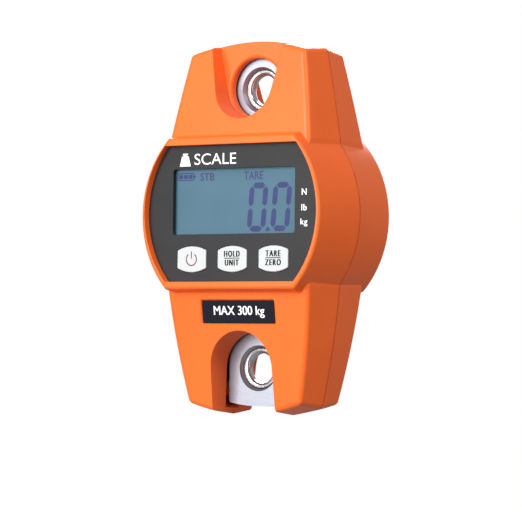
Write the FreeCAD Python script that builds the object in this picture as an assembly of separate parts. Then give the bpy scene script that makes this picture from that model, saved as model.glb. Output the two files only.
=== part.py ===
"""Hand-held hanging scale: an orange two-part housing round a flat aluminium load cell.

Millimetres. X runs to the right seen from the display, Y runs from the display side to the
battery side, Z is up. The origin is the centre of the upper eye, in the middle of the load cell,
and the housing's seam lies in the plane Y = 0.
"""

import FreeCAD, Part
import math
import os

Vector = FreeCAD.Vector
X_AXIS, Y_AXIS, Z_AXIS = Vector(1, 0, 0), Vector(0, 1, 0), Vector(0, 0, 1)

# ---- driving dimensions -------------------------------------------------------------------
# load cell and its eyes
eye_spacing = 115.2
eye_bore_radius = 6.2
eye_land = 2.0
bush_radius = 8.45
bush_length = 4.4
bush_edge_chamfer = 0.3
cell_thickness = 7.6
cell_width = 29.2
cell_past_eye = 15.7
cell_end_rise = 1.5
cell_corner = 1.2
eye_flare = 1.05
gauge_hole_radius = 8.0
gauge_seal_thickness = 0.8
gauge_seal_lip = 1.2
cell_slot = 2.0
cell_slot_offset = 13.5
cell_slot_past_middle = 8.0

# housing outline in the seam plane
housing_past_eye = 20.3
crown_rise = 4.3
keel_rise = 4.6
upper_end_half_width = 30.0
lower_end_half_width = 29.4
upper_waist_half_width = 37.0
lower_waist_half_width = 37.3
upper_side_bow = 0.3
lower_side_bow = 0.9
waist_reach = 30.0
bulge_drop = 51.85
bulge_radius = 46.9
bulge_circle_drop = 0.5
bulge_half_height = 31.05
corner_radius = 2.6

# housing depths, from the seam to each side
end_depth = 14.3
waist_depth = 20.5
bulge_depth = 26.4
bulge_wall_lean = 1.0
draft_angle = 5.5
wall = 2.5
edge_round = 2.2
rim_round = 1.3
cove_round = 1.2
seam_groove = 0.25
seam_groove_depth = 0.4

# notches that bare the eyes
upper_notch_radius = 13.9
upper_notch_rise = 1.6
upper_notch_lean = 12.5
upper_web_depth = 8.0
upper_web = 2.4
upper_hole_radius = 12.4
upper_hole_rise = 0.5
upper_hole_round = 1.4
lower_notch_radius = 14.55
lower_notch_lean = 1.4
notch_draft_angle = 2.5
cell_gap = 0.7
collar_gap = 0.6
channel_gap = 1.6
notch_wall = 2.0

# display panel, window and keys
panel_radius = 42.8
panel_circle_rise = 0.4
panel_half_height = 28.0
panel_recess = 3.2
panel_thickness = 1.3
panel_fit = 0.12
window_width = 60.9
window_height = 27.0
window_rise = 5.0
window_corner = 1.2
key_width = 14.5
key_height = 10.7
key_bow = 1.7
key_pitch = 20.4
key_drop = 18.8
key_stand = 0.45
key_travel = 0.5
key_fit = 0.25
key_flange = 0.7
key_flange_thickness = 0.8
key_flange_gap = 0.1
key_shell = 1.4
key_stem_radius = 2.3
key_edge_round = 0.4
key_corner = 0.8

# display module and circuit board
lcd_border = 1.5
lcd_thickness = 2.8
lcd_fit = 0.12
lens_thickness = 0.8
lens_gap = 0.05
backlight_thickness = 3.0
frame_wall = 1.2
connector_height = 2.2
connector_margin = 3.0
frame_floor = 1.35
board_thickness = 1.6
board_half_width = 33.6
board_half_height = 26.2
board_corner = 6.0
board_post_x = 31.2
board_post_rise = 23.9
board_post_drop = 22.5
board_post_radius = 2.0
board_screw_radius = 0.9
board_screw_head_radius = 1.9
board_screw_head = 1.2
board_screw_reach = 4.5
switch_side = 6.0
switch_height = 3.2
plunger_radius = 1.7
plunger_depth = 1.6
plunger_clearance = 0.05
chip_side = 12.0
chip_height = 1.6
buzzer_radius = 6.0
buzzer_height = 4.5

# capacity label
label_width = 36.0
label_height = 9.4
label_thickness = 0.5
label_recess = 1.0
label_drop = 40.4
label_fit = 0.15
label_corner = 0.5
label_rim_chamfer = 0.6

# battery bay and door
cell_count = 3
aaa_radius = 5.25
aaa_length = 44.5
aaa_nub_radius = 1.9
aaa_nub_length = 1.0
aaa_gap = 0.7
bay_end_room = 3.1
bay_side_room = 0.5
bay_wall = 1.5
door_half_width = 28.5
door_past_bay = 6.2
door_thickness = 2.0
door_fit = 0.15
door_gap = 0.1
door_ledge = 2.1
door_rim = 3.0
door_pin_radius = 0.55
door_pin_length = 1.5
door_pin_clearance = 0.06
door_tongue_width = 9.0
door_tongue_thickness = 1.2
door_tongue_reach = 3.0
door_tongue_room = 0.8
door_tongue_drop = 2.6
door_grip_width = 16.0
door_grip_depth = 0.4
door_corner = 1.5
finger_radius = 5.0
finger_depth = 1.2
contact_thickness = 0.5
contact_width = 8.0
spring_wire_radius = 0.25
spring_radius = 2.4
spring_turns = 2.5
spring_bends_per_turn = 12

# fasteners
shell_screw_radius = 1.45
shell_screw_head_radius = 2.8
shell_screw_head = 2.2
shell_screw_seat = 7.5
shell_screw_reach = 6.0
screw_fit = 0.25
thread_fit = 0.05
boss_radius = 3.5
end_boss_x = 23.2
end_boss_drop = 11.3
low_boss_x = 21.9
low_boss_rise = 12.0
side_boss_inset = 7.6
cell_screw_x = 9.5
cell_screw_drop = 21.0
cell_screw_reach = 8.0
cell_post_radius = 3.6
driver_recess = 0.9

# ---- derived places -----------------------------------------------------------------------
bulge_z = -bulge_drop
lower_eye_z = -eye_spacing
top_z = housing_past_eye
bottom_z = lower_eye_z - housing_past_eye
half_cell = cell_thickness / 2
draft = math.tan(math.radians(draft_angle))
notch_draft = math.tan(math.radians(notch_draft_angle))
panel_face = bulge_depth - panel_recess
panel_back = panel_face - panel_thickness
front_wall_back = panel_back - wall
window_z = bulge_z + window_rise
key_z = bulge_z - key_drop
key_xs = {"power": -key_pitch, "hold": 0.0, "tare": key_pitch}
key_face = panel_face + key_stand
key_back = front_wall_back - key_flange_gap - key_flange_thickness
lens_back = panel_back - lens_thickness
lcd_front = lens_back - lens_gap
lcd_back = lcd_front - lcd_thickness
backlight_back = lcd_back - backlight_thickness
lcd_half_x = window_width / 2 + lcd_border
lcd_half_z = window_height / 2 + lcd_border
board_front = backlight_back - frame_floor
board_back = board_front - board_thickness
bay_half_width = aaa_length / 2 + bay_end_room
aaa_pitch = 2 * aaa_radius + aaa_gap
bay_half_height = cell_count * aaa_pitch / 2 + bay_side_room
door_half_height = bay_half_height + door_past_bay
door_inside = bulge_depth - door_thickness
bay_mouth = door_inside - door_gap
aaa_y = bay_mouth - bay_side_room - aaa_radius
bay_floor = aaa_y - aaa_radius - 0.2
aaa_zs = [bulge_z + (i - (cell_count - 1) / 2) * aaa_pitch for i in range(cell_count)]
hinge_radius = door_thickness / 2
hinge_y = bulge_depth - hinge_radius
hinge_z = bulge_z - door_half_height + door_fit + hinge_radius
shell_screw_places = [
    (side * x, z)
    for x, z in (
        (end_boss_x, top_z - end_boss_drop),
        (bulge_radius - side_boss_inset, bulge_z),
        (low_boss_x, bottom_z + low_boss_rise),
    )
    for side in (-1, 1)
]
board_post_places = [
    (side * board_post_x, bulge_z + rise)
    for rise in (board_post_rise, -board_post_drop)
    for side in (-1, 1)
]
cell_screw_places = [(side * cell_screw_x, -cell_screw_drop) for side in (-1, 1)]


# ---- small helpers ------------------------------------------------------------------------
def box(x0, x1, y0, y1, z0, z1):
    """A box between six planes."""
    return Part.makeBox(x1 - x0, y1 - y0, z1 - z0, Vector(x0, y0, z0))


def centred_box(half_x, y0, y1, half_z, z, x=0):
    """A box along Y, centred on (x, z)."""
    return box(x - half_x, x + half_x, y0, y1, z - half_z, z + half_z)


def rod(radius, x, z, y0, y1):
    """A cylinder along Y."""
    return Part.makeCylinder(radius, y1 - y0, Vector(x, y0, z), Y_AXIS)


def cone(r0, r1, x, z, y0, y1):
    """A cone along Y, with radius r0 at y0 and r1 at y1."""
    return Part.makeCone(r0, r1, y1 - y0, Vector(x, y0, z), Y_AXIS)


def line(a, b):
    return Part.makeLine(Vector(*a), Vector(*b))


def arc(a, middle, b):
    return Part.Arc(Vector(*a), Vector(*middle), Vector(*b)).toShape()


def polygon_prism(points, x_reach):
    """A prism along X over a closed (y, z) polygon, from -x_reach to x_reach."""
    corners = [Vector(-x_reach, y, z) for y, z in points]
    face = Part.Face(Part.makePolygon(corners + corners[:1]))
    return face.extrude(Vector(2 * x_reach, 0, 0))


def slab(wire, y1):
    """The solid between a flat wire and the plane y1."""
    face = Part.Face(wire)
    return face.extrude(Vector(0, y1 - wire.BoundBox.YMin, 0))


def join(first, *rest):
    """One shape from several that touch."""
    shape = first
    for other in rest:
        shape = shape.fuse(other)
    return shape.removeSplitter()


def group(shapes):
    return shapes[0] if len(shapes) == 1 else Part.makeCompound(shapes)


def cut_all(shape, tools):
    for tool in tools:
        shape = shape.cut(tool)
    return shape


def edge_middle(edge):
    return edge.valueAt((edge.FirstParameter + edge.LastParameter) / 2)


def rounded(shape, radius, test):
    """The shape with a fillet on every edge whose middle point passes the test."""
    chosen = [edge for edge in shape.Edges if test(edge_middle(edge), edge)]
    return shape.makeFillet(radius, chosen)


def along_y(edge):
    """Whether a straight edge runs along Y."""
    first, last = edge.Vertexes[0].Point, edge.Vertexes[-1].Point
    run = last - first
    return run.Length > 1e-6 and abs(run.y) > 0.99 * run.Length


def plate(half_x, half_z, corner, y0, y1, z, x=0):
    """A rectangular plate across Y with rounded corners."""
    body = centred_box(half_x, y0, y1, half_z, z, x)
    return rounded(body, corner, lambda middle, edge: along_y(edge))


def mirrored_back(shape):
    """The same shape on the battery side."""
    return shape.mirror(Vector(0, 0, 0), Y_AXIS)


# ---- housing form -------------------------------------------------------------------------
def waist_wire(inset, y):
    """The housing's outline without its round middle, moved in by inset, at depth y."""
    upper_end_x, lower_end_x = upper_end_half_width - inset, lower_end_half_width - inset
    upper_x, lower_x = upper_waist_half_width - inset, lower_waist_half_width - inset
    top, bottom = top_z - inset, bottom_z + inset
    upper, lower = bulge_z + waist_reach, bulge_z - waist_reach
    high, low = top - crown_rise, bottom + keel_rise
    upper_middle = ((upper_end_x + upper_x) / 2 + upper_side_bow, y, (high + upper) / 2)
    lower_middle = ((lower_end_x + lower_x) / 2 + lower_side_bow, y, (low + lower) / 2)

    def side(way):
        upper_end, upper_mid, upper_root, lower_root, lower_mid, lower_end = [
            (way * point[0], y, point[2])
            for point in (
                (upper_end_x, y, high),
                upper_middle,
                (upper_x, y, upper),
                (lower_x, y, lower),
                lower_middle,
                (lower_end_x, y, low),
            )
        ]
        return [
            arc(upper_end, upper_mid, upper_root),
            line(upper_root, lower_root),
            arc(lower_root, lower_mid, lower_end),
        ]

    crown = arc((-upper_end_x, y, high), (0, y, top), (upper_end_x, y, high))
    keel = arc((lower_end_x, y, low), (0, y, bottom), (-lower_end_x, y, low))
    return Part.Wire([crown] + side(1) + [keel] + side(-1)[::-1])


def face_depth(z):
    """Depth of the sloping face above or below the round middle, at height z."""
    near_end = top_z - crown_rise if z > bulge_z else bottom_z + keel_rise
    near_waist = bulge_z + math.copysign(waist_reach, z - bulge_z)
    share = (z - near_waist) / (near_end - near_waist)
    return waist_depth + share * (end_depth - waist_depth)


def waist_form(inset):
    """The flat, sloping part of the housing's display-side half."""
    reach = waist_depth + 3
    sides = Part.makeLoft([waist_wire(inset, 0), waist_wire(inset + reach * draft, -reach)], True, True)
    past = 8
    high, low = top_z + past, bottom_z - past
    profile = [
        (1, high),
        (-face_depth(high) + inset, high),
        (-waist_depth + inset, bulge_z + waist_reach),
        (-waist_depth + inset, bulge_z - waist_reach),
        (-face_depth(low) + inset, low),
        (1, low),
    ]
    return sides.common(polygon_prism(profile, lower_waist_half_width + past))


def bulge_form(inset, depth):
    """The round middle of the display-side half, as deep as asked."""
    rim_half = bulge_half_height - inset
    slope = bulge_wall_lean / (bulge_depth - waist_depth)
    full = bulge_depth
    disc = cone(
        bulge_radius - inset - depth * draft,
        bulge_radius - inset,
        0,
        bulge_z - bulge_circle_drop,
        -depth,
        0,
    )
    rim = rim_half + (full - depth) * slope
    root = rim_half + full * slope
    wedge = [
        (0, bulge_z + root),
        (-depth, bulge_z + rim),
        (-depth, bulge_z - rim),
        (0, bulge_z - root),
    ]
    return disc.common(polygon_prism(wedge, bulge_radius + 5))


def half_form(inset, depth):
    """The display-side half of the housing as one solid, moved in by inset."""
    return join(waist_form(inset), bulge_form(inset, depth))


def outer_form():
    """The housing half from outside, with its corners, rims and steps rounded."""

    def at_corner(middle, edge):
        near_side = abs(abs(middle.x) - upper_end_half_width) < 3.5
        near_end = abs(middle.z - (top_z + bottom_z) / 2) > (top_z - bottom_z) / 2 - keel_rise - 3
        return near_side and near_end and -end_depth < middle.y < -1

    def at_face(middle, edge):
        return middle.y < -end_depth + 3 and abs(middle.z - bulge_z) > waist_reach + 1

    def at_step(middle, edge):
        rise = abs(middle.z - bulge_z) - bulge_half_height - bulge_wall_lean
        return abs(rise) < 1.5 and abs(middle.x) < 2 and abs(middle.y + waist_depth) < 2

    def at_rim(middle, edge):
        return middle.y < -bulge_depth + 0.01

    form = rounded(waist_form(0), corner_radius, at_corner)
    form = rounded(form, edge_round, at_face)
    form = join(form, bulge_form(0, bulge_depth))
    form = rounded(form, cove_round, at_step)
    return rounded(form, rim_round, at_rim)


def notch_wire(radius, lean_angle, eye_z, end_z, y):
    """A round-bottomed notch's outline at depth y, round an eye and open past end_z."""
    up = math.copysign(1, end_z - eye_z)
    lean = math.radians(lean_angle)
    touch_x = radius * math.cos(lean)
    touch_z = -radius * math.sin(lean)
    end_x = touch_x + (abs(end_z - eye_z) - touch_z) * math.tan(lean)
    left, right = (-touch_x, y, eye_z + up * touch_z), (touch_x, y, eye_z + up * touch_z)
    far_left, far_right = (-end_x, y, end_z), (end_x, y, end_z)
    return Part.Wire(
        [
            arc(left, (0, y, eye_z - up * radius), right),
            line(right, far_right),
            line(far_right, far_left),
            line(far_left, left),
        ]
    )


def notch_solid(radius, lean_angle, eye_z, end_z, y0, y1):
    """A notch from depth y0 to y1 (further out), widening with the notch draft."""
    widened = radius + (y0 - y1) * notch_draft
    wires = [
        notch_wire(radius, lean_angle, eye_z, end_z, y0),
        notch_wire(widened, lean_angle, eye_z, end_z, y1),
    ]
    return Part.makeLoft(wires, True, True)


def upper_notch(grow, y0):
    out = -end_depth - waist_depth
    return notch_solid(
        upper_notch_radius + grow, upper_notch_lean, upper_notch_rise, top_z + 10, y0, out
    )


def lower_notch(grow, y0):
    out = -end_depth - waist_depth
    return notch_solid(
        lower_notch_radius + grow, lower_notch_lean, lower_eye_z, bottom_z - 10, y0, out
    )


def upper_hole(collar_end):
    """The round hole through the upper web, rounded where it meets the web's outer face."""
    wide = upper_hole_radius + upper_hole_round
    web, bend = -upper_web_depth, -upper_web_depth + upper_hole_round
    slant = upper_hole_round * (1 - math.sqrt(0.5))
    edges = [
        line((0, web - 1, 0), (wide, web - 1, 0)),
        line((wide, web - 1, 0), (wide, web, 0)),
        arc(
            (wide, web, 0),
            (upper_hole_radius + slant, web + slant, 0),
            (upper_hole_radius, bend, 0),
        ),
        line((upper_hole_radius, bend, 0), (upper_hole_radius, collar_end + 1, 0)),
        line((upper_hole_radius, collar_end + 1, 0), (0, collar_end + 1, 0)),
        line((0, collar_end + 1, 0), (0, web - 1, 0)),
    ]
    hole = Part.Face(Part.Wire(edges)).revolve(Vector(0, 0, 0), Y_AXIS, 360)
    hole.translate(Vector(0, 0, upper_hole_rise))
    return hole


def plain_shell(cavity_depth):
    """The display-side half shell with its notches and screw bosses, still without openings."""
    outer = outer_form()
    cavity = join(waist_form(wall), bulge_form(wall, cavity_depth))
    shell = outer.cut(cavity)
    web_back = -(upper_web_depth - upper_web)
    collar_end = -(half_cell + collar_gap)
    blocks = [
        upper_notch(notch_wall, web_back),
        lower_notch(notch_wall, 0),
        rod(upper_hole_radius + notch_wall, 0, upper_hole_rise, -upper_web_depth, collar_end),
    ]
    blocks += [rod(boss_radius, x, z, -bulge_depth, 0) for x, z in shell_screw_places]
    shell = join(shell, *[block.common(outer) for block in blocks])
    shell = shell.cut(upper_notch(0, -upper_web_depth))
    shell = shell.cut(lower_notch(0, 1))
    shell = shell.cut(upper_hole(collar_end))
    channel = lower_notch_radius + notch_wall + cell_gap
    cell_bottom = lower_eye_z - cell_past_eye - cell_gap
    shell = shell.cut(box(-channel, channel, -half_cell - channel_gap, 1, cell_bottom, bulge_z))
    return shell.removeSplitter()


def seam_ring():
    """What the fine groove along the seam takes off one half."""
    ring = half_form(0, bulge_depth).cut(half_form(seam_groove_depth, bulge_depth))
    return ring.common(box(-60, 60, -seam_groove, 1, bottom_z - 5, top_z + 5))


def key_wire(x, grow, y):
    """A key's barrel-shaped outline."""
    half_x = key_width / 2 + grow
    peak = key_height / 2 + grow
    side = peak - key_bow
    right_low, right_high = (x + half_x, y, key_z - side), (x + half_x, y, key_z + side)
    left_low, left_high = (x - half_x, y, key_z - side), (x - half_x, y, key_z + side)
    return Part.Wire(
        [
            line(right_low, right_high),
            arc(right_high, (x, y, key_z + peak), left_high),
            line(left_high, left_low),
            arc(left_low, (x, y, key_z - peak), right_low),
        ]
    )


def key_block(x, grow, y0, y1):
    """A solid with a key's outline and rounded corners, from y0 to y1."""
    block = slab(key_wire(x, grow, y0), y1)
    return rounded(block, key_corner + max(grow, 0), lambda middle, edge: along_y(edge))


def panel_block(grow, y0, y1):
    disc = rod(panel_radius + grow, 0, bulge_z + panel_circle_rise, y0, y1)
    return disc.common(centred_box(60, y0, y1, panel_half_height + grow, bulge_z))


def on_lower_face(shape):
    """A shape made round the origin, facing -Y, moved onto the lower sloping face."""
    z = bulge_z - label_drop
    slope = face_depth(z + 0.5) - face_depth(z - 0.5)
    placed = shape.copy()
    placed.rotate(Vector(0, 0, 0), X_AXIS, math.degrees(math.atan(slope)))
    placed.translate(Vector(0, -face_depth(z), z))
    return placed


# ---- housing pieces -----------------------------------------------------------------------
def make_front_shell():
    shell = plain_shell(front_wall_back)
    posts = [
        rod(board_post_radius, x, z, -front_wall_back - 0.5, -board_front)
        for x, z in board_post_places
    ]
    shell = join(shell, *posts)
    tools = [panel_block(panel_fit, -bulge_depth - 5, -panel_back)]
    tools.append(
        centred_box(
            lcd_half_x + lcd_fit, -panel_back - 1, -front_wall_back + 1, lcd_half_z + lcd_fit, window_z
        )
    )
    tools += [
        key_block(x, key_fit, -panel_back - 1, -front_wall_back + 1) for x in key_xs.values()
    ]
    tools += [
        rod(board_screw_radius + thread_fit, x, z, -board_front - board_screw_reach - 0.2, 0)
        for x, z in board_post_places
    ]
    tools += [
        rod(shell_screw_radius + thread_fit, x, z, -shell_screw_reach - 0.5, 1)
        for x, z in shell_screw_places
    ]
    recess_x, recess_z = label_width / 2 + label_fit, label_height / 2 + label_fit
    recess = plate(recess_x, recess_z, label_corner, -3, label_recess, 0)
    flared = plate(
        recess_x + label_rim_chamfer,
        recess_z + label_rim_chamfer,
        label_corner + label_rim_chamfer,
        -3,
        label_rim_chamfer,
        0,
    )
    bottom_edges = [edge for edge in flared.Edges if edge_middle(edge).y > label_rim_chamfer - 0.01]
    flared = flared.makeChamfer(label_rim_chamfer - 0.01, bottom_edges)
    tools += [on_lower_face(recess), on_lower_face(flared)]
    tools.append(seam_ring())
    return cut_all(shell, tools)


def make_rear_shell():
    outer = mirrored_back(outer_form())
    shell = mirrored_back(plain_shell(bulge_depth - wall))
    blocks = [
        centred_box(
            bay_half_width + bay_wall,
            bay_floor - bay_wall,
            bay_mouth,
            bay_half_height + bay_wall,
            bulge_z,
        ),
        centred_box(
            door_half_width + door_rim,
            bay_mouth - door_ledge,
            bulge_depth,
            door_half_height + bay_wall,
            bulge_z,
        ),
    ]
    blocks += [rod(cell_post_radius, x, z, half_cell, bulge_depth) for x, z in cell_screw_places]
    shell = join(shell, *[block.common(outer) for block in blocks])
    tools = [
        centred_box(bay_half_width, bay_floor, bay_mouth + 1, bay_half_height, bulge_z),
        centred_box(door_half_width, bay_mouth, bulge_depth + 1, door_half_height, bulge_z),
        rod(
            finger_radius,
            0,
            bulge_z + door_half_height,
            bulge_depth - finger_depth,
            bulge_depth + 1,
        ),
    ]
    pin_reach = door_half_width + door_pin_length + door_pin_clearance
    tools.append(
        Part.makeCylinder(
            door_pin_radius + door_pin_clearance,
            2 * pin_reach,
            Vector(-pin_reach, hinge_y, hinge_z),
            X_AXIS,
        )
    )
    tongue_top = bulge_z + door_half_height - door_tongue_drop
    tools.append(
        box(
            -door_tongue_width / 2 - door_fit,
            door_tongue_width / 2 + door_fit,
            bay_mouth - door_ledge - 1,
            bay_mouth + 1,
            tongue_top - door_tongue_thickness - door_fit,
            tongue_top + door_tongue_room,
        )
    )
    for x, z in shell_screw_places:
        tools.append(rod(shell_screw_radius + screw_fit, x, z, -1, shell_screw_seat + 1))
        tools.append(
            rod(shell_screw_head_radius + screw_fit, x, z, shell_screw_seat, bulge_depth + 1)
        )
    tools += [
        rod(shell_screw_radius + thread_fit, x, z, 0, half_cell + cell_screw_reach + 0.5)
        for x, z in cell_screw_places
    ]
    tools.append(mirrored_back(seam_ring()))
    return cut_all(shell, tools)


def make_panel():
    body = panel_block(0, -panel_face, -panel_back)
    window = plate(
        window_width / 2,
        window_height / 2,
        window_corner,
        -panel_face - 1,
        -panel_back + 1,
        window_z,
    )
    keys = [key_block(x, key_fit, -panel_face - 1, -panel_back + 1) for x in key_xs.values()]
    return cut_all(body, [window] + keys)


def make_capacity_label():
    low = label_recess - label_thickness
    return on_lower_face(
        plate(label_width / 2, label_height / 2, label_corner, low, label_recess, 0)
    )


def make_key(x):
    body = key_block(x, 0, -key_face, -key_back)
    body = rounded(body, key_edge_round, lambda middle, edge: middle.y < -key_face + 0.01)
    flange = key_block(x, key_flange, -key_back - key_flange_thickness, -key_back)
    hollow = key_block(x, -key_shell, -key_face + key_shell, -key_back + 1)
    stem = rod(key_stem_radius, x, key_z, -key_face + key_shell, -key_back)
    return join(join(body, flange).cut(hollow), stem)


# ---- display and circuit board ------------------------------------------------------------
def make_window_lens():
    return centred_box(lcd_half_x, -panel_back, -lens_back, lcd_half_z, window_z)


def make_lcd_glass():
    return centred_box(lcd_half_x, -lcd_front, -lcd_back, lcd_half_z, window_z)


def connector_span():
    low = window_z - lcd_half_z + 0.3
    return low, low + connector_height


def make_backlight():
    low, high = connector_span()
    top = window_z + lcd_half_z
    return box(-lcd_half_x, lcd_half_x, -lcd_back, -backlight_back, high + 0.3, top)


def make_lcd_connector():
    low, high = connector_span()
    half_x = lcd_half_x - connector_margin
    return box(-half_x, half_x, -lcd_back, -board_front, low, high)


def make_lcd_frame():
    low, high = connector_span()
    half_x = lcd_half_x + frame_wall
    body = centred_box(
        half_x, -front_wall_back + 0.1, -board_front, lcd_half_z + frame_wall, window_z
    )
    pocket = centred_box(
        lcd_half_x + lcd_fit, -front_wall_back, -backlight_back, lcd_half_z + lcd_fit, window_z
    )
    slot_x = lcd_half_x - connector_margin + lcd_fit
    slot = box(-slot_x, slot_x, -backlight_back - 1, 0, low - lcd_fit, high + lcd_fit)
    return cut_all(body, [pocket, slot])


def make_circuit_board():
    board = plate(
        board_half_width, board_half_height, board_corner, -board_front, -board_back, bulge_z
    )
    holes = [
        rod(board_screw_radius + screw_fit, x, z, -board_front - 1, 0)
        for x, z in board_post_places
    ]
    return cut_all(board, holes)


def make_switch_bodies():
    top = board_front + switch_height
    bore_floor = top - plunger_depth - key_travel - 0.2
    bodies = []
    for x in key_xs.values():
        body = centred_box(switch_side / 2, -top, -board_front, switch_side / 2, key_z, x)
        bodies.append(
            body.cut(rod(plunger_radius + plunger_clearance, x, key_z, -top - 1, -bore_floor))
        )
    return group(bodies)


def make_plunger(x):
    inner = board_front + switch_height - plunger_depth
    return rod(plunger_radius, x, key_z, -key_back, -inner)


def make_controller_chip():
    return centred_box(
        chip_side / 2, -board_back, -board_back + chip_height, chip_side / 2, bulge_z + chip_side
    )


def make_buzzer():
    x, z = -board_half_width / 2, bulge_z - board_half_height / 2
    body = rod(buzzer_radius, x, z, -board_back, -board_back + buzzer_height)
    return body.cut(rod(1.0, x, z, -board_back + buzzer_height - 1, 0))


# ---- load cell ----------------------------------------------------------------------------
def cell_wire(y):
    """The load cell's outline, with gently bowed ends."""
    half_x = cell_width / 2
    top, bottom = cell_past_eye, lower_eye_z - cell_past_eye
    high, low = top - cell_end_rise, bottom + cell_end_rise
    return Part.Wire(
        [
            line((half_x, y, low), (half_x, y, high)),
            arc((half_x, y, high), (0, y, top), (-half_x, y, high)),
            line((-half_x, y, high), (-half_x, y, low)),
            arc((-half_x, y, low), (0, y, bottom), (half_x, y, low)),
        ]
    )


def make_load_cell():
    cell = slab(cell_wire(-half_cell), half_cell)
    cell = rounded(cell, cell_corner, lambda middle, edge: along_y(edge))
    half_bush = bush_length / 2
    tools = []
    for z in (0, lower_eye_z):
        tools.append(rod(bush_radius, 0, z, -half_cell - 1, half_cell + 1))
        wide = bush_radius + eye_flare
        tools.append(cone(wide, bush_radius, 0, z, -half_cell, -half_bush))
        tools.append(cone(bush_radius, wide, 0, z, half_bush, half_cell))
    middle = lower_eye_z / 2
    tools.append(rod(gauge_hole_radius, 0, middle, -half_cell - 1, half_cell + 1))
    for side in (-1, 1):
        low = half_cell - gauge_seal_thickness if side > 0 else -half_cell - 1
        high = low + gauge_seal_thickness + 1
        tools.append(rod(gauge_hole_radius + gauge_seal_lip, 0, middle, low, high))
        slot_z = middle + side * cell_slot_offset
        outer = -side * (cell_width / 2 + 1)
        inner = side * cell_slot_past_middle
        tools.append(
            box(
                min(outer, inner),
                max(outer, inner),
                -half_cell - 1,
                half_cell + 1,
                slot_z - cell_slot / 2,
                slot_z + cell_slot / 2,
            )
        )
    tools += [
        rod(shell_screw_radius + screw_fit, x, z, -half_cell - 1, half_cell + 1)
        for x, z in cell_screw_places
    ]
    return cut_all(cell, tools)


def make_gauge_seals():
    middle = lower_eye_z / 2
    radius = gauge_hole_radius + gauge_seal_lip - thread_fit
    inner = half_cell - gauge_seal_thickness
    return group(
        [rod(radius, 0, middle, -half_cell, -inner), rod(radius, 0, middle, inner, half_cell)]
    )


def make_bush(z):
    """A steel ring with a rounded bore, pressed into an eye."""
    half = bush_length / 2
    land = eye_land / 2
    bend = half - land
    shoulder = eye_bore_radius + bend
    slant = bend * (1 - math.sqrt(0.5))
    chamfer = bush_edge_chamfer
    outer = bush_radius
    edges = [
        line((eye_bore_radius, -land, z), (eye_bore_radius, land, z)),
        arc(
            (eye_bore_radius, land, z),
            (eye_bore_radius + slant, half - slant, z),
            (shoulder, half, z),
        ),
        line((shoulder, half, z), (outer - chamfer, half, z)),
        line((outer - chamfer, half, z), (outer, half - chamfer, z)),
        line((outer, half - chamfer, z), (outer, -half + chamfer, z)),
        line((outer, -half + chamfer, z), (outer - chamfer, -half, z)),
        line((outer - chamfer, -half, z), (shoulder, -half, z)),
        arc(
            (shoulder, -half, z),
            (eye_bore_radius + slant, -half + slant, z),
            (eye_bore_radius, -land, z),
        ),
    ]
    return Part.Face(Part.Wire(edges)).revolve(Vector(0, 0, z), Y_AXIS, 360)


# ---- batteries and door -------------------------------------------------------------------
def nub_side(i):
    """+1 where the i-th battery's button end points to +X, else -1."""
    return 1 if i % 2 == 0 else -1


def make_batteries():
    cells = []
    body_length = aaa_length - aaa_nub_length
    for i, z in enumerate(aaa_zs):
        side = nub_side(i)
        start = Vector(-side * aaa_length / 2, aaa_y, z)
        body = Part.makeCylinder(aaa_radius, body_length, start, X_AXIS * side)
        nub = Part.makeCylinder(aaa_nub_radius, aaa_length, start, X_AXIS * side)
        cells.append(body.fuse(nub).removeSplitter())
    return group(cells)


def make_contact_plates():
    plates = []
    deep = bay_floor + 2 * aaa_radius - 1
    for i, z in enumerate(aaa_zs):
        for side in (-1, 1):
            wall_x = side * bay_half_width
            face_x = side * (bay_half_width - contact_thickness)
            contact = box(
                min(wall_x, face_x),
                max(wall_x, face_x),
                bay_floor,
                deep,
                z - contact_width / 2,
                z + contact_width / 2,
            )
            if side == nub_side(i):
                reach = bay_half_width - contact_thickness - aaa_length / 2
                bump = Part.makeCylinder(
                    aaa_nub_radius, reach, Vector(face_x, aaa_y, z), X_AXIS * -side
                )
                contact = join(contact, bump)
            plates.append(contact)
    return group(plates)


def make_contact_springs():
    """Coiled wire springs, each coil drawn as short straight runs."""
    springs = []
    room = bay_half_width - contact_thickness - aaa_length / 2
    length = room - 2 * spring_wire_radius
    steps = int(spring_bends_per_turn * spring_turns)
    bends = []
    for step in range(steps + 1):
        turn = 2 * math.pi * spring_turns * step / steps
        bends.append(
            Vector(
                spring_radius * math.cos(turn),
                spring_radius * math.sin(turn),
                length * step / steps,
            )
        )
    round_wire = Part.Wire(Part.makeCircle(spring_wire_radius, bends[0], bends[1] - bends[0]))
    mitred = 1
    coil = Part.makePolygon(bends).makePipeShell([round_wire], True, False, mitred)
    for i, z in enumerate(aaa_zs):
        side = -nub_side(i)
        spring = coil.copy()
        spring.rotate(Vector(0, 0, 0), Y_AXIS, side * -90)
        start = side * (bay_half_width - contact_thickness - spring_wire_radius)
        spring.translate(Vector(start, aaa_y, z))
        springs.append(spring)
    return group(springs)


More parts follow.
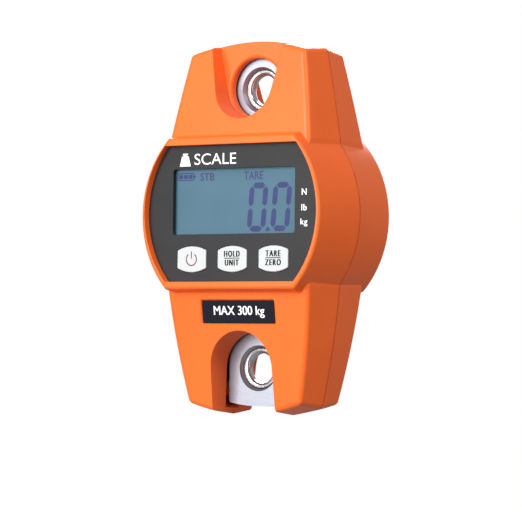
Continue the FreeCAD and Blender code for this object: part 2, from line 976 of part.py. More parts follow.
def make_battery_door():
    half_x = door_half_width - door_fit
    top = bulge_z + door_half_height - door_fit
    body = box(-half_x, half_x, door_inside, bulge_depth, hinge_z, top)
    body = rounded(
        body,
        door_corner,
        lambda middle, edge: along_y(edge) and middle.z > top - 1,
    )
    edge_roll = Part.makeCylinder(
        hinge_radius, 2 * half_x, Vector(-half_x, hinge_y, hinge_z), X_AXIS
    )
    pin_reach = door_half_width + door_pin_length
    pin = Part.makeCylinder(
        door_pin_radius, 2 * pin_reach, Vector(-pin_reach, hinge_y, hinge_z), X_AXIS
    )
    tongue_top = bulge_z + door_half_height - door_tongue_drop
    tongue = box(
        -door_tongue_width / 2,
        door_tongue_width / 2,
        door_inside - door_tongue_reach,
        door_inside,
        tongue_top - door_tongue_thickness,
        tongue_top,
    )
    door = join(body, edge_roll, pin, tongue)
    for row in range(3):
        z = top - 3.5 - 2.0 * row
        door = door.cut(
            box(
                -door_grip_width / 2,
                door_grip_width / 2,
                bulge_depth - door_grip_depth,
                bulge_depth + 1,
                z - 0.4,
                z + 0.4,
            )
        )
    return door


# ---- fasteners ----------------------------------------------------------------------------
def screw(shank, reach, head_radius, head, x, z, seat, inward):
    """A pan-head screw along Y whose head sits on the plane y = seat.

    The shank points along inward (+1 or -1) and the head stands the other way.
    """
    tip = seat + inward * reach
    top = seat - inward * head
    body = join(
        rod(shank, x, z, min(seat, tip), max(seat, tip)),
        rod(head_radius, x, z, min(seat, top), max(seat, top)),
    )
    recess = top + inward * driver_recess
    low, high = min(top - inward, recess), max(top - inward, recess)
    arm = head_radius * 0.6
    slim = head_radius * 0.16
    cross = centred_box(arm, low, high, slim, z, x).fuse(centred_box(slim, low, high, arm, z, x))
    return body.cut(cross)


def make_shell_screws():
    return group(
        [
            screw(
                shell_screw_radius,
                shell_screw_seat + shell_screw_reach,
                shell_screw_head_radius,
                shell_screw_head,
                x,
                z,
                shell_screw_seat,
                -1,
            )
            for x, z in shell_screw_places
        ]
    )


def make_cell_screws():
    return group(
        [
            screw(
                shell_screw_radius,
                cell_thickness + cell_screw_reach,
                shell_screw_head_radius,
                shell_screw_head,
                x,
                z,
                -half_cell,
                1,
            )
            for x, z in cell_screw_places
        ]
    )


def make_board_screws():
    return group(
        [
            screw(
                board_screw_radius,
                board_thickness + board_screw_reach,
                board_screw_head_radius,
                board_screw_head,
                x,
                z,
                -board_back,
                -1,
            )
            for x, z in board_post_places
        ]
    )


# ---- the assembly -------------------------------------------------------------------------
def all_parts():
    parts = {
        "front_shell": make_front_shell(),
        "rear_shell": make_rear_shell(),
        "load_cell": make_load_cell(),
        "upper_bush": make_bush(0),
        "lower_bush": make_bush(lower_eye_z),
        "gauge_seals": make_gauge_seals(),
        "cell_screws": make_cell_screws(),
        "panel": make_panel(),
        "capacity_label": make_capacity_label(),
        "window_lens": make_window_lens(),
        "lcd_glass": make_lcd_glass(),
        "backlight": make_backlight(),
        "lcd_connector": make_lcd_connector(),
        "lcd_frame": make_lcd_frame(),
        "circuit_board": make_circuit_board(),
        "controller_chip": make_controller_chip(),
        "buzzer": make_buzzer(),
        "switch_bodies": make_switch_bodies(),
        "board_screws": make_board_screws(),
        "batteries": make_batteries(),
        "contact_plates": make_contact_plates(),
        "contact_springs": make_contact_springs(),
        "battery_door": make_battery_door(),
        "shell_screws": make_shell_screws(),
    }
    for name, x in key_xs.items():
        parts[name + "_key"] = make_key(x)
        parts[name + "_plunger"] = make_plunger(x)
    return parts


os.makedirs("parts", exist_ok=True)
for part_name, part_shape in all_parts().items():
    part_shape.exportStep("parts/" + part_name + ".step")
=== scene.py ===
"""Looks for the compact hanging scale: orange moulded housing, aluminium load cell, LCD and keys.

Everything is in metres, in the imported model's frame: X to the right seen from the display,
Y from the display to the battery side, Z up, with the origin at the upper eye's centre.
"""

import math

import bmesh
import bpy
from mathutils import Matrix, Vector


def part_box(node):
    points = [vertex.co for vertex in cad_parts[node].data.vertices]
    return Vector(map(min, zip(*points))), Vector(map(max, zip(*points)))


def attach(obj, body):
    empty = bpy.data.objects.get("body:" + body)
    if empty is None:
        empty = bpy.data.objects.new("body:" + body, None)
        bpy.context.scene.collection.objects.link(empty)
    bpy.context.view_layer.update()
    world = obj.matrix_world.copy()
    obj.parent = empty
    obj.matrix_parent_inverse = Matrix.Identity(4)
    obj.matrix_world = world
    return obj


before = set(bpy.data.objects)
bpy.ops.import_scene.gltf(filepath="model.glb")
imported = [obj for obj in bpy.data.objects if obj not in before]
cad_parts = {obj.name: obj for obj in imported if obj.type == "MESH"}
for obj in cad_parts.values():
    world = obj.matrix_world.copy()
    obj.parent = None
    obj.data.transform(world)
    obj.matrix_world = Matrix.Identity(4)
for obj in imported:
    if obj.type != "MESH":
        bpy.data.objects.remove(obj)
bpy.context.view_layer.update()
MM = 0.001


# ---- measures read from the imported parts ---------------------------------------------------
def middle(node):
    """Centre of a CAD node's box, in metres."""
    low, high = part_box(node)
    return Vector([(a + b) / 2 for a, b in zip(low, high)])


def front(node):
    """The Y of a CAD node's face on the display side."""
    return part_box(node)[0][1]


bulge_z = middle("panel").z
panel_y = front("panel")
display_y = front("lcd_glass")
key_y = front("hold_key")


# ---- shader nodes --------------------------------------------------------------------------
def linear(code):
    """A linear RGBA colour from an sRGB hex code such as "ff9955"."""
    channels = [int(code[i : i + 2], 16) / 255 for i in (0, 2, 4)]
    return [c / 12.92 if c <= 0.04045 else ((c + 0.055) / 1.055) ** 2.4 for c in channels] + [1.0]


def per_mm(size):
    """Noise or wave scale whose features are about size millimetres across."""
    return 1000.0 / size


def add(tree, kind, inputs=None, **settings):
    """Adds one shader node, with its settings, its input values, and its links from sockets."""
    item = tree.nodes.new(kind)
    for name, value in settings.items():
        setattr(item, name, value)
    for name, value in (inputs or {}).items():
        if isinstance(value, bpy.types.NodeSocket):
            tree.links.new(value, item.inputs[name])
        else:
            item.inputs[name].default_value = value
    return item


def start(name):
    """A new material, its tree and the Object coordinates that its patterns read."""
    material = bpy.data.materials.new(name)
    material.use_nodes = True
    material.node_tree.nodes.clear()
    tree = material.node_tree
    place = add(tree, "ShaderNodeTexCoord").outputs["Object"]
    return material, tree, place


def close(material, tree, surface):
    """Joins the last shader to the output and hands the material back."""
    add(tree, "ShaderNodeOutputMaterial", {"Surface": surface})
    return material


def ramp(tree, factor, *stops):
    """A colour ramp over (position, linear colour) stops."""
    item = add(tree, "ShaderNodeValToRGB", {"Fac": factor})
    elements = item.color_ramp.elements
    while len(elements) < len(stops):
        elements.new(0.5)
    for element, (position, colour) in zip(elements, stops):
        element.position = position
        element.color = colour
    return item.outputs["Color"]


def with_painted_crease_shade(tree, colour, dark, reach_mm, closed, open_to):
    """The colour with painted shade in creases narrower than about reach_mm, where parts meet and
    light falls off.

    The openness of the spot, from 0 to 1, is fully shaded at closed and untouched at open_to.
    """
    crease = add(tree, "ShaderNodeAmbientOcclusion", {"Distance": reach_mm * MM}, samples=16)
    depth = add(
        tree,
        "ShaderNodeMapRange",
        {"Value": crease.outputs["AO"], "From Min": closed, "From Max": open_to},
    )
    # A colour mix keeps its factor and its two colours at inputs 0, 6 and 7.
    mix = add(
        tree,
        "ShaderNodeMix",
        {0: depth.outputs["Result"], 6: linear(dark), 7: colour},
        data_type="RGBA",
    )
    return mix.outputs[2]


# ---- materials -----------------------------------------------------------------------------
def moulded_orange_abs():
    """Glossy injection-moulded ABS: a warm, even orange whose edges catch a thin soft light."""
    material, tree, place = start("moulded_orange_abs")
    flow = add(tree, "ShaderNodeTexNoise", {"Vector": place, "Scale": per_mm(30), "Detail": 2.0})
    colour = ramp(tree, flow.outputs["Fac"], (0.35, linear("f26a29")), (0.65, linear("ee6627")))
    scuff = add(tree, "ShaderNodeTexNoise", {"Vector": place, "Scale": per_mm(3), "Detail": 5.0})
    gloss = add(
        tree,
        "ShaderNodeMapRange",
        {"Value": scuff.outputs["Fac"], "To Min": 0.26, "To Max": 0.36},
    )
    # Tool-worn corners of about half a millimetre.
    soft_edge = add(tree, "ShaderNodeBevel", {"Radius": 0.55 * MM}, samples=6)
    # The mould's fine spark texture, about 0.5 mm, drawn a little coarse so that it shows.
    grain = add(tree, "ShaderNodeTexNoise", {"Vector": place, "Scale": per_mm(0.5), "Detail": 1.0})
    bump = add(
        tree,
        "ShaderNodeBump",
        {
            "Height": grain.outputs["Fac"],
            "Strength": 0.06,
            "Distance": 0.0001,
            "Normal": soft_edge.outputs["Normal"],
        },
    )
    shader = add(
        tree,
        "ShaderNodeBsdfPrincipled",
        {
            "Base Color": colour,
            "Roughness": gloss.outputs["Result"],
            "IOR": 1.54,
            "Specular IOR Level": 0.22,
            "Normal": bump.outputs["Normal"],
        },
    )
    return close(material, tree, shader.outputs["BSDF"])


def milled_aluminium():
    """Face-milled and tumbled aluminium: pale grey, matte, with fine marks across the plate."""
    material, tree, place = start("milled_aluminium")
    across = add(tree, "ShaderNodeMapping", {"Vector": place, "Scale": (1.0, 1.0, 14.0)})
    marks = add(
        tree,
        "ShaderNodeTexNoise",
        {"Vector": across.outputs["Vector"], "Scale": per_mm(6), "Detail": 4.0},
    )
    colour = ramp(
        tree, marks.outputs["Fac"], (0.3, linear("9a9ea8")), (0.7, linear("a5a9b3"))
    )
    # Painted shade: the aluminium turns near black in creases and around the seated bushes.
    colour = with_painted_crease_shade(tree, colour, "1c1d22", 1.3, 0.5, 0.9)
    gloss = add(
        tree,
        "ShaderNodeMapRange",
        {"Value": marks.outputs["Fac"], "To Min": 0.42, "To Max": 0.58},
    )
    bump = add(
        tree,
        "ShaderNodeBump",
        {"Height": marks.outputs["Fac"], "Strength": 0.08, "Distance": 0.0001},
    )
    shader = add(
        tree,
        "ShaderNodeBsdfPrincipled",
        {
            "Base Color": colour,
            "Metallic": 1.0,
            "Roughness": gloss.outputs["Result"],
            "Normal": bump.outputs["Normal"],
        },
    )
    return close(material, tree, shader.outputs["BSDF"])


def polished_steel():
    """Turned and polished steel: bright rings with soft reflections and faint turning lines."""
    material, tree, place = start("polished_steel")
    lines = add(tree, "ShaderNodeTexNoise", {"Vector": place, "Scale": per_mm(0.6), "Detail": 3.0})
    gloss = add(
        tree,
        "ShaderNodeMapRange",
        {"Value": lines.outputs["Fac"], "To Min": 0.16, "To Max": 0.24},
    )
    colour = ramp(tree, lines.outputs["Fac"], (0.3, linear("c6c8cc")), (0.7, linear("d4d6da")))
    # Painted shade: the steel turns near black in the narrow gaps along the rings' lips.
    colour = with_painted_crease_shade(tree, colour, "0c0c0e", 0.8, 0.6, 0.92)
    # Turned faces run into each other without a sharp line.
    turned = add(tree, "ShaderNodeBevel", {"Radius": 0.35 * MM}, samples=8)
    shader = add(
        tree,
        "ShaderNodeBsdfPrincipled",
        {
            "Base Color": colour,
            "Metallic": 1.0,
            "Roughness": gloss.outputs["Result"],
            "Normal": turned.outputs["Normal"],
        },
    )
    return close(material, tree, shader.outputs["BSDF"])


def zinc_plated_steel():
    """Zinc-plated screws: bright, slightly blue-grey and a little uneven."""
    material, tree, place = start("zinc_plated_steel")
    spots = add(tree, "ShaderNodeTexNoise", {"Vector": place, "Scale": per_mm(0.8), "Detail": 3.0})
    colour = ramp(tree, spots.outputs["Fac"], (0.3, linear("9ea2a6")), (0.7, linear("bcbfc2")))
    gloss = add(
        tree,
        "ShaderNodeMapRange",
        {"Value": spots.outputs["Fac"], "To Min": 0.25, "To Max": 0.4},
    )
    shader = add(
        tree,
        "ShaderNodeBsdfPrincipled",
        {"Base Color": colour, "Metallic": 1.0, "Roughness": gloss.outputs["Result"]},
    )
    return close(material, tree, shader.outputs["BSDF"])


def satin_faceplate():
    """Screen-printed polycarbonate faceplate: charcoal with a fine velvet texture."""
    material, tree, place = start("satin_faceplate")
    tint = add(tree, "ShaderNodeTexNoise", {"Vector": place, "Scale": per_mm(18), "Detail": 2.0})
    colour = ramp(tree, tint.outputs["Fac"], (0.3, linear("1e1e20")), (0.7, linear("242426")))
    # Velvet grain of about 0.25 mm, drawn at 0.4 mm so that it shows.
    grain = add(tree, "ShaderNodeTexNoise", {"Vector": place, "Scale": per_mm(0.4), "Detail": 1.0})
    bump = add(
        tree,
        "ShaderNodeBump",
        {"Height": grain.outputs["Fac"], "Strength": 0.1, "Distance": 0.0001},
    )
    gloss = add(
        tree,
        "ShaderNodeMapRange",
        {"Value": grain.outputs["Fac"], "To Min": 0.42, "To Max": 0.52},
    )
    shader = add(
        tree,
        "ShaderNodeBsdfPrincipled",
        {
            "Base Color": colour,
            "Roughness": gloss.outputs["Result"],
            "IOR": 1.58,
            "Specular IOR Level": 0.2,
            "Normal": bump.outputs["Normal"],
        },
    )
    return close(material, tree, shader.outputs["BSDF"])


def display_film():
    """Reflective LCD under its polariser: an even grey-blue with a faint cloudiness."""
    material, tree, place = start("display_film")
    cloud = add(tree, "ShaderNodeTexNoise", {"Vector": place, "Scale": per_mm(25), "Detail": 1.0})
    colour = ramp(tree, cloud.outputs["Fac"], (0.3, linear("466474")), (0.7, linear("4b6a7b")))
    shader = add(
        tree,
        "ShaderNodeBsdfPrincipled",
        {"Base Color": colour, "Roughness": 0.55, "IOR": 1.35},
    )
    return close(material, tree, shader.outputs["BSDF"])


def display_ink():
    """Switched-on LCD segments: blue-violet, soft and flat."""
    material, tree, place = start("display_ink")
    cloud = add(tree, "ShaderNodeTexNoise", {"Vector": place, "Scale": per_mm(3), "Detail": 2.0})
    colour = ramp(tree, cloud.outputs["Fac"], (0.3, linear("303564")), (0.7, linear("363c6c")))
    shader = add(
        tree, "ShaderNodeBsdfPrincipled", {"Base Color": colour, "Roughness": 0.55, "IOR": 1.35}
    )
    return close(material, tree, shader.outputs["BSDF"])


def clear_acrylic():
    """Clear window sheet: lets the display through and adds a thin gloss."""
    material, tree, place = start("clear_acrylic")
    dust = add(tree, "ShaderNodeTexNoise", {"Vector": place, "Scale": per_mm(2), "Detail": 4.0})
    gloss = add(
        tree,
        "ShaderNodeMapRange",
        {"Value": dust.outputs["Fac"], "To Min": 0.04, "To Max": 0.1},
    )
    clear = add(tree, "ShaderNodeBsdfTransparent", {"Color": (0.97, 0.985, 0.99, 1.0)})
    shine = add(tree, "ShaderNodeBsdfGlossy", {"Roughness": gloss.outputs["Result"]})
    edge = add(tree, "ShaderNodeFresnel", {"IOR": 1.15})
    mix = add(
        tree,
        "ShaderNodeMixShader",
        {0: edge.outputs["Fac"], 1: clear.outputs["BSDF"], 2: shine.outputs["BSDF"]},
    )
    # The sheet's inner side stays clear, so that the display shows at every angle.
    side = add(tree, "ShaderNodeNewGeometry")
    sheet = add(
        tree,
        "ShaderNodeMixShader",
        {0: side.outputs["Backfacing"], 1: mix.outputs["Shader"], 2: clear.outputs["BSDF"]},
    )
    return close(material, tree, sheet.outputs["Shader"])


def moulded_plastic(name, dark, light, rough, grain_mm=0.6, ior=1.5):
    """Moulded or cast plastic between two close colours, with a fine grain."""
    material, tree, place = start(name)
    grain = add(
        tree, "ShaderNodeTexNoise", {"Vector": place, "Scale": per_mm(grain_mm), "Detail": 3.0}
    )
    colour = ramp(tree, grain.outputs["Fac"], (0.3, linear(dark)), (0.7, linear(light)))
    gloss = add(
        tree,
        "ShaderNodeMapRange",
        {"Value": grain.outputs["Fac"], "To Min": rough - 0.05, "To Max": rough + 0.05},
    )
    bump = add(
        tree,
        "ShaderNodeBump",
        {"Height": grain.outputs["Fac"], "Strength": 0.05, "Distance": 0.0001},
    )
    shader = add(
        tree,
        "ShaderNodeBsdfPrincipled",
        {
            "Base Color": colour,
            "Roughness": gloss.outputs["Result"],
            "IOR": ior,
            "Normal": bump.outputs["Normal"],
        },
    )
    return close(material, tree, shader.outputs["BSDF"])


def battery_sleeve():
    """Printed shrink sleeve on an AAA cell: dark with a copper-coloured band at the button end."""
    material, tree, place = start("battery_sleeve")
    half_length = 22 * MM
    across = add(tree, "ShaderNodeSeparateXYZ", {"Vector": place})
    band = add(
        tree,
        "ShaderNodeMapRange",
        {"Value": across.outputs["X"], "From Min": -half_length, "From Max": half_length},
    )
    colour = ramp(
        tree,
        band.outputs["Result"],
        (0.0, linear("2b2e33")),
        (0.68, linear("2b2e33")),
        (0.7, linear("a8683a")),
        (1.0, linear("b5733f")),
    )
    gloss = add(tree, "ShaderNodeTexNoise", {"Vector": place, "Scale": per_mm(2), "Detail": 3.0})
    rough = add(
        tree,
        "ShaderNodeMapRange",
        {"Value": gloss.outputs["Fac"], "To Min": 0.25, "To Max": 0.38},
    )
    shader = add(
        tree,
        "ShaderNodeBsdfPrincipled",
        {"Base Color": colour, "Metallic": 0.6, "Roughness": rough.outputs["Result"]},
    )
    return close(material, tree, shader.outputs["BSDF"])


orange = moulded_orange_abs()
aluminium = milled_aluminium()
polished = polished_steel()
zinc = zinc_plated_steel()
faceplate = satin_faceplate()
film = display_film()
segment_ink = display_ink()
clear = clear_acrylic()
# Moulded key caps: cool white with a silky, slightly soft shine.
key_white = moulded_plastic("silk_white_abs", "b4b9b9", "bbbfbf", 0.38, 0.5, 1.5)
# Printed polyester label: nearly black navy, flat, with almost no gloss.
label_navy = moulded_plastic("printed_navy_film", "0b0917", "100e1b", 0.5, 0.5, 1.25)
# Screen-print inks: dense and matte, with a slightly uneven layer.
print_white = moulded_plastic("white_screen_print", "ececee", "f6f6f8", 0.5, 0.3)
print_dark = moulded_plastic("dark_screen_print", "030304", "070708", 0.7, 0.3, 1.2)
print_red = moulded_plastic("red_screen_print", "6e2a2f", "7a3338", 0.6, 0.3, 1.3)
# Transfer-moulded chip and buzzer cases: black with a dull, fine sandy sheen.
black_resin = moulded_plastic("black_epoxy", "141416", "1f1f22", 0.45, 0.4)
# Moulded nylon: warm white and satin.
frame_white = moulded_plastic("white_nylon", "d9d8d2", "e4e3de", 0.5, 0.6)
# Light guide sheet: milky, even and faintly cool.
diffuser = moulded_plastic("milky_polycarbonate", "e6eaee", "f2f4f6", 0.35, 2.0)
# Cured board lacquer: deep green with a wet-looking gloss.
solder_mask = moulded_plastic("green_solder_mask", "14502f", "1b6039", 0.3, 1.5)
# Conductive silicone strip: black and dull.
rubber = moulded_plastic("black_silicone", "101011", "1a1a1b", 0.65, 0.4, 1.41)
# Poured silicone over the gauge: pale grey, soft and slightly lumpy.
sealant = moulded_plastic("grey_sealant", "b9b9b4", "c9c9c4", 0.6, 0.8, 1.41)
sleeve = battery_sleeve()

finishes = {
    orange: ["front_shell", "rear_shell", "battery_door"],
    aluminium: ["load_cell"],
    polished: ["upper_bush", "lower_bush", "contact_plates", "contact_springs"],
    zinc: ["cell_screws", "shell_screws", "board_screws"],
    faceplate: ["panel"],
    film: ["lcd_glass"],
    clear: ["window_lens"],
    key_white: ["power_key", "hold_key", "tare_key"],
    label_navy: ["capacity_label"],
    black_resin: ["controller_chip", "buzzer", "switch_bodies"],
    frame_white: ["lcd_frame", "power_plunger", "hold_plunger", "tare_plunger"],
    diffuser: ["backlight"],
    solder_mask: ["circuit_board"],
    rubber: ["lcd_connector"],
    sealant: ["gauge_seals"],
    sleeve: ["batteries"],
}
for finish, nodes in finishes.items():
    for node in nodes:
        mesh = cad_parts[node].data
        mesh.materials.clear()
        mesh.materials.append(finish)


# ---- making and placing pieces --------------------------------------------------------------
def piece(name, form, material, body):
    """A finished piece from a bmesh, riding on a CAD body."""
    bmesh.ops.recalc_face_normals(form, faces=form.faces)
    mesh = bpy.data.meshes.new(name)
    form.to_mesh(mesh)
    form.free()
    item = bpy.data.objects.new(name, mesh)
    bpy.context.scene.collection.objects.link(item)
    mesh.materials.append(material)
    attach(item, body)
    return item


def flat_plate(outlines, y, thickness):
    """A bmesh of flat plates across Y, one for each outline of (x, z) points in metres."""
    form = bmesh.new()
    for outline in outlines:
        corners = [form.verts.new((x, y, z)) for x, z in outline]
        face = form.faces.new(corners)
        grown = bmesh.ops.extrude_face_region(form, geom=[face])
        moved = [v for v in grown["geom"] if isinstance(v, bmesh.types.BMVert)]
        bmesh.ops.translate(form, verts=moved, vec=(0, -thickness, 0))
    return form


def lettering(name, words, centre, size, material, body, bold=0.0, widen=0.0, tilt=0.0, gap=1.0):
    """Printed words as a thin relief facing -Y, fitted to a width and height in metres.

    widen, in metres, repeats the words to both sides so that their strokes are wider, and
    gap is the letters' spacing as a share of the usual one. tilt is in degrees about X.
    """
    font = bpy.data.curves.new(name, "FONT")
    font.body = words
    font.align_x = "CENTER"
    font.align_y = "CENTER"
    font.offset = bold
    font.space_character = gap
    font.extrude = 0.5
    holder = bpy.data.objects.new(name, font)
    bpy.context.scene.collection.objects.link(holder)
    bpy.context.view_layer.update()
    graph = bpy.context.evaluated_depsgraph_get()
    mesh = bpy.data.meshes.new_from_object(holder.evaluated_get(graph))
    bpy.data.objects.remove(holder)
    form = bmesh.new()
    form.from_mesh(mesh)
    bpy.data.meshes.remove(mesh)
    bmesh.ops.remove_doubles(form, verts=form.verts, dist=1e-5)
    lows = [min(v.co[i] for v in form.verts) for i in range(3)]
    highs = [max(v.co[i] for v in form.verts) for i in range(3)]
    middle_point = Vector([-(a + b) / 2 for a, b in zip(lows, highs)])
    bmesh.ops.translate(form, verts=form.verts, vec=middle_point)
    scale = (size[0] / (highs[0] - lows[0]), size[1] / (highs[1] - lows[1]), size[2])
    bmesh.ops.scale(form, verts=form.verts, vec=scale)
    first = form.verts[:] + form.edges[:] + form.faces[:]
    # Each repeat lies a hair higher, so that no two faces share a plane.
    repeats = ((-widen, 0.04 * widen), (widen, 0.06 * widen)) if widen else ()
    for aside, higher in repeats:
        copied = bmesh.ops.duplicate(form, geom=first)["geom"]
        corners = [v for v in copied if isinstance(v, bmesh.types.BMVert)]
        bmesh.ops.translate(form, verts=corners, vec=(aside, 0, higher))
    upright = Matrix.Rotation(math.radians(90 + tilt), 4, "X")
    bmesh.ops.transform(form, verts=form.verts, matrix=Matrix.Translation(centre) @ upright)
    return piece(name, form, material, body)


# ---- display figures ------------------------------------------------------------------------
def segment(length, width):
    """One mitred bar along +X from the origin, as (x, z) points."""
    half = width / 2
    return [
        (half, half),
        (length - half, half),
        (length, 0),
        (length - half, -half),
        (half, -half),
        (0, 0),
    ]


def rectangle(x0, x1, z0, z1, centre_x=0.0, centre_z=0.0):
    """A rectangle's (x, z) corners in metres, from sides in millimetres about a centre."""
    corners = ((x0, z0), (x1, z0), (x1, z1), (x0, z1))
    return [(centre_x + x * MM, centre_z + z * MM) for x, z in corners]


def digit(left, base, width, height, bar, lean, lit):
    """Outlines of a seven-segment digit, each bar named by its place."""
    gap = bar * 0.14
    half = height / 2
    runs = {
        "top": ((0, height), (1, 0), width),
        "middle": ((0, half), (1, 0), width),
        "bottom": ((0, 0), (1, 0), width),
        "upper_left": ((0, half), (0, 1), half),
        "lower_left": ((0, 0), (0, 1), half),
        "upper_right": ((width, half), (0, 1), half),
        "lower_right": ((width, 0), (0, 1), half),
    }
    outlines = []
    for name in lit:
        (x0, z0), (dx, dz), length = runs[name]
        points = []
        for along, side in segment(length - 2 * gap, bar):
            x = x0 + dx * (along + gap) - dz * side
            z = z0 + dz * (along + gap) + dx * side
            points.append((left + x + lean * z, base + z))
        outlines.append(points)
    return outlines


around = ["top", "bottom", "upper_left", "lower_left", "upper_right", "lower_right"]
print_depth = 0.02 * MM
ink_y = display_y - 0.005 * MM
word_y = ink_y - print_depth / 2
digit_width = 6.8 * MM
digit_height = 17.6 * MM
digit_bar = 2.4 * MM
digit_lean = 0.08
digit_base = bulge_z - 6.5 * MM
figures = []
for left in (6.6, 18.3):
    figures += digit(
        left * MM, digit_base, digit_width, digit_height, digit_bar, digit_lean, around
    )
point = ((14.7, -7.5), (17.1, -7.5), (16.4, -5.9), (15.4, -5.9))
figures.append([(x * MM, bulge_z + z * MM) for x, z in point])
piece("display_figures", flat_plate(figures, ink_y, print_depth), segment_ink, "housing")

lettering(
    "display_stb", "STB", (-14.6 * MM, word_y, bulge_z + 15.2 * MM),
    (7.2 * MM, 3.2 * MM, print_depth), segment_ink, "housing", bold=0.012,
)
lettering(
    "display_tare", "TARE", (8.6 * MM, word_y, bulge_z + 15.3 * MM),
    (9.6 * MM, 3.4 * MM, print_depth), segment_ink, "housing", bold=0.012,
)
gauge = [
    rectangle(-29.8, -21.4, 13.8, 14.25, centre_z=bulge_z),
    rectangle(-29.8, -21.4, 16.55, 17.0, centre_z=bulge_z),
    rectangle(-29.8, -29.4, 14.25, 16.55, centre_z=bulge_z),
    rectangle(-21.8, -21.4, 14.25, 16.55, centre_z=bulge_z),
    rectangle(-21.4, -20.7, 14.8, 16.0, centre_z=bulge_z),
]
for left in (-29.0, -26.6, -24.2):
    gauge.append(rectangle(left, left + 2.0, 14.6, 16.2, centre_z=bulge_z))
piece("display_battery_sign", flat_plate(gauge, ink_y, print_depth), segment_ink, "housing")

# ---- printed words on the faceplate, the keys and the label -----------------------------------
print_y = panel_y - print_depth / 2
for name, words, z, width, height in (
    ("unit_newton", "N", 8.0, 2.3, 2.6),
    ("unit_pound", "lb", 1.7, 2.5, 2.6),
    ("unit_kilogram", "kg", -4.4, 3.3, 3.2),
):
    lettering(
        name, words, (35.0 * MM, print_y, bulge_z + z * MM),
        (width * MM, height * MM, print_depth), print_white, "housing", widen=0.06 * MM, gap=1.1,
    )
lettering(
    "panel_word", "SCALE", (-9.2 * MM, print_y, bulge_z + 22.4 * MM),
    (21.0 * MM, 4.6 * MM, print_depth), print_white, "housing",
)
weight_sign = [
    [(-27.2, 19.6), (-21.6, 19.6), (-22.7, 23.7), (-26.1, 23.7)],
    [(-25.3, 23.7), (-23.5, 23.7), (-23.5, 24.3), (-25.3, 24.3)],
    [(-25.7, 24.3), (-23.1, 24.3), (-23.1, 24.9), (-25.7, 24.9)],
]
weight_sign = [[(x * MM, bulge_z + z * MM) for x, z in outline] for outline in weight_sign]
piece("panel_weight_sign", flat_plate(weight_sign, print_y, print_depth), print_white, "housing")

key_print_y = key_y - print_depth / 2
key_words = {
    "hold": (("HOLD", 7.6, 2.1), ("UNIT", 6.7, -1.5)),
    "tare": (("TARE", 7.2, 2.1), ("ZERO", 7.6, -1.5)),
}
for key, lines in key_words.items():
    spot = middle(key + "_key")
    body = key + "_button"
    for words, width, rise in lines:
        lettering(
            f"{key}_key_{words.lower()}", words, (spot.x, key_print_y, spot.z + rise * MM),
            (width * MM, 2.45 * MM, print_depth), print_dark, body, widen=0.17 * MM, gap=1.3,
        )
    rule = [rectangle(-3.8, 3.8, 0.14, 0.5, spot.x, spot.z)]
    piece(key + "_key_rule", flat_plate(rule, key_y, print_depth), print_dark, body)


def power_sign(spot, y):
    """An open ring with a bar through its gap."""
    outlines = []
    steps = 40
    outer = 2.8 * MM
    inner = 2.3 * MM
    half_gap = 38
    rim = []
    for i in range(steps + 1):
        angle = math.radians(90 + half_gap + (360 - 2 * half_gap) * i / steps)
        rim.append((math.cos(angle), math.sin(angle)))
    for (ax, az), (bx, bz) in zip(rim, rim[1:]):
        outlines.append(
            [
                (spot.x + outer * ax, spot.z + outer * az),
                (spot.x + outer * bx, spot.z + outer * bz),
                (spot.x + inner * bx, spot.z + inner * bz),
                (spot.x + inner * ax, spot.z + inner * az),
            ]
        )
    outlines.append(rectangle(-0.24, 0.24, 0.3, 3.3, spot.x, spot.z))
    return flat_plate(outlines, y, print_depth)


piece("power_key_sign", power_sign(middle("power_key"), key_y), print_red, "power_button")

# The label lies in the sloping lower face, so its words lean as far, just off its surface.
label_tilt = 7.2
label_middle = middle("capacity_label")
label_lift = 0.26 * MM
label_front = Vector((0.4 * MM, label_middle.y - label_lift, label_middle.z))
lettering(
    "label_words", "MAX 300 kg", label_front, (25.2 * MM, 4.9 * MM, print_depth),
    print_white, "housing", widen=0.1 * MM, tilt=label_tilt,
)


# ---- stage, light and camera -----------------------------------------------------------------
def studio_paper():
    """Matte white backdrop paper: even, with a barely seen fibre cloud."""
    material, tree, place = start("studio_paper")
    fibre = add(tree, "ShaderNodeTexNoise", {"Vector": place, "Scale": per_mm(40), "Detail": 2.0})
    colour = ramp(tree, fibre.outputs["Fac"], (0.3, linear("c8c8c8")), (0.7, linear("cecece")))
    # Paper lit apart from the piece: white to the camera, dim in what it sends back.
    seen = add(tree, "ShaderNodeLightPath")
    glow = add(
        tree,
        "ShaderNodeMapRange",
        {"Value": seen.outputs["Is Camera Ray"], "To Min": 0.0, "To Max": 0.8},
    )
    shader = add(
        tree,
        "ShaderNodeBsdfPrincipled",
        {
            "Base Color": colour,
            "Roughness": 0.9,
            "Emission Color": (1.0, 1.0, 1.0, 1.0),
            "Emission Strength": glow.outputs["Result"],
        },
    )
    return close(material, tree, shader.outputs["BSDF"])


floor_half_width = 30.0
floor_z = -2.0
floor_form = bmesh.new()
bmesh.ops.create_grid(floor_form, x_segments=1, y_segments=1, size=floor_half_width)
bmesh.ops.translate(floor_form, verts=floor_form.verts, vec=(0, 0, floor_z))
floor_mesh = bpy.data.meshes.new("floor")
floor_form.to_mesh(floor_mesh)
floor_form.free()
floor = bpy.data.objects.new("floor", floor_mesh)
bpy.context.scene.collection.objects.link(floor)
floor_mesh.materials.append(studio_paper())

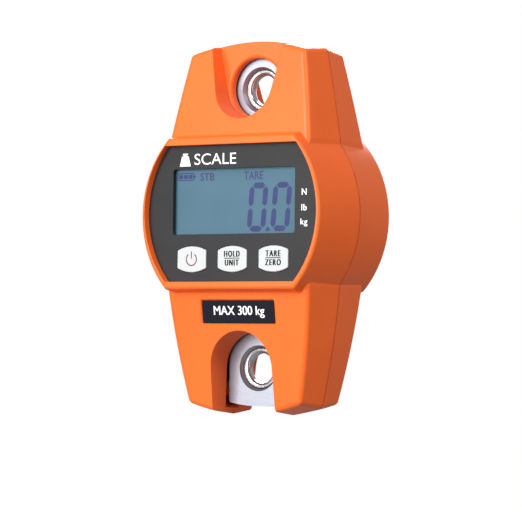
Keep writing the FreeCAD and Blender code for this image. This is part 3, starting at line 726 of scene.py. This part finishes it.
bpy.context.scene.view_settings.view_transform = "Standard"
world = bpy.data.worlds.new("studio")
bpy.context.scene.world = world
world.use_nodes = True
sky = world.node_tree
backdrop = sky.nodes["Background"]
backdrop.inputs["Color"].default_value = (1.0, 1.0, 1.0, 1.0)
# The paper behind is white, while the light that it sends back to the piece is softer.
seen = add(sky, "ShaderNodeLightPath")
strength = add(
    sky,
    "ShaderNodeMapRange",
    {"Value": seen.outputs["Is Camera Ray"], "To Min": 0.4, "To Max": 1.0},
)
sky.links.new(strength.outputs["Result"], backdrop.inputs["Strength"])


def soft_light(name, place, aim, width, height, power):
    """A rectangular soft light aimed at a point."""
    lamp = bpy.data.lights.new(name, "AREA")
    lamp.shape = "RECTANGLE"
    lamp.size = width
    lamp.size_y = height
    lamp.energy = power
    item = bpy.data.objects.new(name, lamp)
    item.location = place
    item.rotation_euler = (Vector(aim) - Vector(place)).to_track_quat("-Z", "Y").to_euler()
    bpy.context.scene.collection.objects.link(item)


heart = (0, 0, bulge_z)
soft_light("key_light", (-0.2, -1.25, 0.2), heart, 0.9, 0.9, 26.0)
soft_light("side_light", (1.0, -0.4, 0.85), heart, 0.5, 0.5, 8.0)
soft_light("back_light", (-0.6, 1.1, 0.4), heart, 0.8, 0.8, 14.0)
soft_light("rim_light", (0.95, -0.12, 0.1), heart, 0.05, 0.5, 0.3)

camera_place = (0.70175, -1.01022, -0.10645)
camera_data = bpy.data.cameras.new("camera")
camera_data.sensor_width = 36.0
camera_data.lens = 204.8
camera_data.clip_end = 100.0
camera = bpy.data.objects.new("camera", camera_data)
yaw, pitch, roll = (math.radians(angle) for angle in (34.86, -1.66, 0.63))
ahead = Vector(
    (-math.sin(yaw) * math.cos(pitch), math.cos(yaw) * math.cos(pitch), -math.sin(pitch))
)
right_hand = ahead.cross(Vector((0, 0, 1))).normalized()
upward = right_hand.cross(ahead)
rolled_right = right_hand * math.cos(roll) + upward * math.sin(roll)
rolled_up = upward * math.cos(roll) - right_hand * math.sin(roll)
turn = Matrix((rolled_right, rolled_up, -ahead)).transposed()
camera.matrix_world = Matrix.Translation(camera_place) @ turn.to_4x4()
bpy.context.scene.collection.objects.link(camera)
bpy.context.scene.camera = camera
